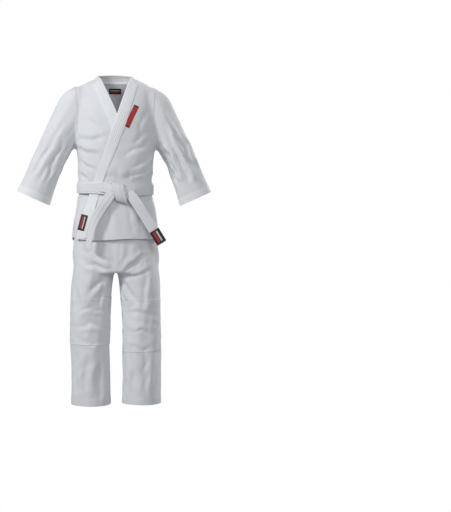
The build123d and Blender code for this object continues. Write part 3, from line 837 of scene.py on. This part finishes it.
grid("collar", rounded(collar_rows, THROAT), band, 4.2, ("from", THROAT), slot="band",
     replaces=["neck_collar", "neck_collar_core"])


# ---- belt ----------------------------------------------------------------------------------------
TILT_BELT = math.tan(math.radians(3.6))
BELT_WIDTH = 42


def belt_turn(name, a, b, shift, seed, **how):
    """One turn of the belt: an oval of half width a and half depth b, tilted and a little wavy."""
    rows = []
    for i in range(145):
        t = 2 * math.pi * i / 144 + 0.5
        px, py = a * math.cos(t), -6 + b * math.sin(t)
        wave = 1.2 * math.sin(3 * t + seed) + 0.8 * math.sin(7 * t + 2 * seed)
        mid = BELT + (py + 6) * TILT_BELT + shift + wave - 4 * (px / 160)
        row = []
        for c in np.linspace(-1, 1, 11):
            inwards = 1 - 0.004 * abs(c) ** 4
            row.append((px * inwards, py * inwards, mid + BELT_WIDTH / 2 * c))
        rows.append(row)
    grid(name, rows, strap, 2.6, ("from", (0, -6, BELT)), slot="belt", **how)


belt_turn("belt_inner", 158.6, 113.8, 4.0, 0.4, replaces=["belt_first_turn"])
belt_turn("belt_outer", 161.8, 117.0, -3.0, 2.1, replaces=["belt_second_turn"])


def ribbon(name, keys, count, thick, pleat=0.0, **how):
    """Strap through keys of (centre, half-width vector, lift of the middle towards the viewer)."""
    table = through([list(c) + list(w) + [up] for c, w, up in keys], count)
    rows = []
    for row in table:
        centre, wide, up = row[:3], row[3:6], row[6]
        line = []
        for c in np.linspace(-1, 1, 15):
            rise = up * (1 - c * c) + pleat * math.cos(c * 7.5) - 1.0 * abs(c) ** 7
            line.append(centre + wide * c + np.array([0, -rise, 0]))
        rows.append(line)
    return grid(name, rows, strap, thick, FORWARDS, slot="belt", **how)


F = -125.0  # y of the knot's back
ribbon("knot_left_fold", [
    ((-62, F + 7, 916), (0, 2, 20), 0), ((-36, F + 0, 911), (1, 1, 20), 1),
    ((-12, F - 7, 903), (3, 0, 21), 3), ((16, F - 9, 896), (5, 0, 20), 3),
], 26, 5.0, 0.7, replaces=["belt_knot"])
ribbon("knot_right_fold", [
    ((80, F + 5, 899), (-1, 2, 20), 0), ((58, F - 2, 896), (-2, 1, 21), 2),
    ((36, F - 8, 893), (-3, 0, 21), 3), ((14, F - 10, 892), (-4, 0, 20), 3),
], 26, 5.0, 0.7)
ribbon("knot_loop", [
    ((8, F + 4, 934), (23, 0, -5), 0), ((9, F - 7, 930), (24, 0, -6), 1),
    ((13, F - 17, 914), (24, 0, -7), 3), ((18, F - 19, 892), (24, 0, -7), 4),
    ((23, F - 16, 870), (24, 0, -7), 3), ((26, F - 7, 855), (23, 0, -6), 1),
    ((27, F + 3, 851), (22, 0, -6), 0),
], 40, 4.6, 0.5, replaces=["belt_knot_loop"])
END_SPAN = ((0, 0, 884), (0, 0, 858))
ribbon("belt_end_left", [
    ((52, F - 8, 893), (16, 0, 10), 1), ((74, F - 11, 868), (18, 0, 11), 1.5),
    ((98, F - 11, 832), (18, -1, 11), 1.6), ((126, F - 8, 788), (18, 1, 11), 1.2),
    ((156, F - 6, 739), (18, 2, 11), 1.6), ((190, F - 6, 684), (18, 2, 11), 1.0),
], 60, 4.8, 0.3, span=("jacket", "left_belt_end", *END_SPAN), replaces=["belt_tail_left"])
ribbon("belt_end_right", [
    ((-16, F - 6, 886), (-15, 2, 11), 1), ((-36, F - 9, 860), (-17, 1, 12), 2),
    ((-60, F - 11, 824), (-17, 0, 11), 2), ((-82, F - 12, 786), (-17, 3, 8), 2.4),
    ((-97, F - 11, 748), (-15, 7, 5), 2.4), ((-106, F - 9, 706), (-12, 10, 4), 2),
    ((-113, F - 7, 662), (-11, 10, 3), 1),
], 60, 4.8, 0.5, span=("jacket", "right_belt_end", *END_SPAN), replaces=["belt_tail_right"])


# ---- labels --------------------------------------------------------------------------------------
def flat_patch(name, centre, size, lean, lift, material, back=False, **how):
    """A label sewn on the jacket at (x, height), leaning by an angle in degrees."""
    turn = math.radians(lean)
    across, down = np.array([math.cos(turn), -math.sin(turn)]), np.array([math.sin(turn), math.cos(turn)])
    rows, weave = [], []
    for j in np.linspace(-0.5, 0.5, 19):
        line = []
        for i in np.linspace(-0.5, 0.5, 13):
            spot = np.array(centre) + across * i * size[0] + down * j * size[1]
            line.append(on_front(spot[0], spot[1], lift, back=back))
            weave.append((j + 0.5, i + 0.5) if size[1] > size[0] else (i + 0.5, j + 0.5))
        rows.append(line)
    return grid(name, rows, material, 0.9, FORWARDS, weave=np.array(weave), **how)


flat_patch("chest_badge", (66, 1206), (20, 98), 25, LIFT + 1.0, badge, slot="badge", replaces=["chest_patch"])
flat_patch("lapel_tag", (-129, 769), (26, 65), 15, LIFT + 4.4, label, slot="label", replaces=["lapel_label"])
flat_patch("neck_tag", (0, 1338), (52, 22), 0, -5.6, label, back=True, slot="label", replaces=["neck_label"])
flat_patch("size_tag", (0, 1321), (13, 9), 0, -5.6, tab, back=True, slot="label", replaces=["size_tab"])

# the label across the end of the wearer's left belt end
lean = math.atan2(116, 190)
up_strap = np.array([-math.sin(lean), 0.0, math.cos(lean)])
across = np.linspace(-1, 1, 9)
rows, weave = [], []
for j in np.linspace(0, 1, 13):
    mid = np.array([188.5, F - 12.3, 686.5]) + up_strap * 60 * j
    rows.append([mid + np.array([18.6 * c, -1.2 * (1 - c * c) - 0.3, 11.4 * c]) for c in across])
    weave += [(j, (c + 1) / 2) for c in across]
grid("belt_end_tag", rows, label, 0.9, FORWARDS, weave=np.array(weave), body="left_belt_end", slot="label",
     replaces=["belt_tail_label"])


# ---- trousers ------------------------------------------------------------------------------------
weave_t = leg_weave(TV)
x, y, z = TV.T


def leg_panel(name, fields, height, material, thick, **how):
    v, f, w = cut_out(TV + TN * height, TF, fields, weave_t)
    return piece(name, v, f, material, w, thick, **how)


leg_panel("waistband", [z - 958, 999 - z], 0.8, band, CLOTH, body="trousers", replaces=["trouser_waistband"])
for side, name in ((1, "left"), (-1, "right")):
    own = x * side
    hip = ("trousers", f"{name}_thigh", (0, 0, 572), (0, 0, 480))
    knee = (f"{name}_thigh", f"{name}_shin", (0, 0, 436), (0, 0, 332))
    gusset = ["crotch_gusset"] if side > 0 else []
    leg_panel(f"seat_{name}", [own, z - SEAT_END, 960 - z], 0.0, drill, CLOTH, body="trousers",
              replaces=[f"trouser_seat_{name}"] + gusset)
    leg_panel(f"thigh_{name}", [own, SEAT_END - z, z - KNEE_SPLIT], 0.0, drill, CLOTH, span=hip,
              replaces=[f"trouser_hip_{name}", f"leg_{name}_thigh"])
    loop = [y, own - 50, 62 - own, z - 960, 998 - z]
    leg_panel(f"waist_loop_{name}", loop, 3.4, drill, 1.4, body="trousers", replaces=[f"belt_loop_{name}"])
    hem = z - 1.5 - 1.5 * np.sin(x / 40)
    leg_panel(f"shin_{name}", [own, KNEE_SPLIT - z, hem], 0.0, drill, CLOTH, span=knee,
              replaces=[f"leg_{name}_shin"])
    leg_panel(f"hem_{name}", [own, 29 - z, hem + 0.6], 1.0, drill, 3.0, body=f"{name}_shin",
              replaces=[f"leg_{name}_hem"])
    top, bottom = (450, 226) if side > 0 else (454, 258)
    tilt_line = (x - side * 108) * side * 0.02
    patch = [own, 1 - y, top - z - tilt_line, z - bottom - tilt_line]
    leg_panel(f"knee_patch_{name}", patch, 1.7, drill, 1.6, span=knee,
              replaces=[f"knee_patch_{name}_upper", f"knee_patch_{name}_lower"])
    for place, height, slope in (("top", top - 4, 1), ("bottom", bottom + 4, -1)):
        level_off = z + tilt_line * slope - height
        row = [own, 1 - y, 1.4 - level_off, 1.4 + level_off]
        leg_panel(f"knee_stitching_{place}_{name}", row, 2.2, band, 0.8, span=knee)
    centre = np.interp(z, [r[0] for r in LEG], [r[3] for r in LEG])
    seam = [own - centre, 2.2 - y, 2.2 + y, 540 - z, z - 30]
    leg_panel(f"side_seam_{name}_lower", seam + [KNEE_SPLIT - 1 - z], 0.9, band, 1.2, span=knee)
    leg_panel(f"side_seam_{name}_upper", seam + [z - KNEE_SPLIT - 1], 0.9, band, 1.2, span=hip)


# ---- light, backdrop and camera ------------------------------------------------------------------
scene = bpy.context.scene
world = bpy.data.worlds.new("studio")
scene.world = world
world.use_nodes = True
nodes, links = world.node_tree.nodes, world.node_tree.links
seen = nodes["Background"]
seen.inputs["Color"].default_value = (1, 1, 1, 1)
seen.inputs["Strength"].default_value = 1.0
lit = nodes.new("ShaderNodeBackground")
lit.inputs["Color"].default_value = (0.96, 0.98, 1, 1)
lit.inputs["Strength"].default_value = 0.32
path, choose = nodes.new("ShaderNodeLightPath"), nodes.new("ShaderNodeMixShader")
links.new(path.outputs["Is Camera Ray"], choose.inputs[0])
links.new(lit.outputs[0], choose.inputs[1])
links.new(seen.outputs[0], choose.inputs[2])
links.new(choose.outputs[0], nodes["World Output"].inputs["Surface"])


def lamp(name, place, target, size, power):
    data = bpy.data.lights.new(name, "AREA")
    data.shape, data.size, data.energy = "DISK", size, power
    obj = bpy.data.objects.new(name, data)
    scene.collection.objects.link(obj)
    obj.location = place
    obj.rotation_euler = (Vector(target) - Vector(place)).to_track_quat("-Z", "Y").to_euler()


for turn in (0, 180):
    around = Vector((1, 1, 1) if turn == 0 else (-1, -1, 1))
    lamp(f"key {turn}", Vector((-2.9, -2.0, 1.3)) * around, (0, 0, -0.6), 0.9, 82)
    lamp(f"fill {turn}", Vector((0.6, -3.4, 0.9)) * around, (0, 0, -0.5), 1.6, 30)

camera = bpy.data.objects.new("camera", bpy.data.cameras.new("camera"))
scene.collection.objects.link(camera)
camera.data.lens, camera.data.sensor_width = 62.9, 36.0
camera.location = (0, -3.83, (760 - NECK) / 1000)
camera.rotation_euler = (math.radians(90 - 1.99), 0, math.radians(-7.0))
scene.camera = camera
scene.view_settings.view_transform = "Standard"
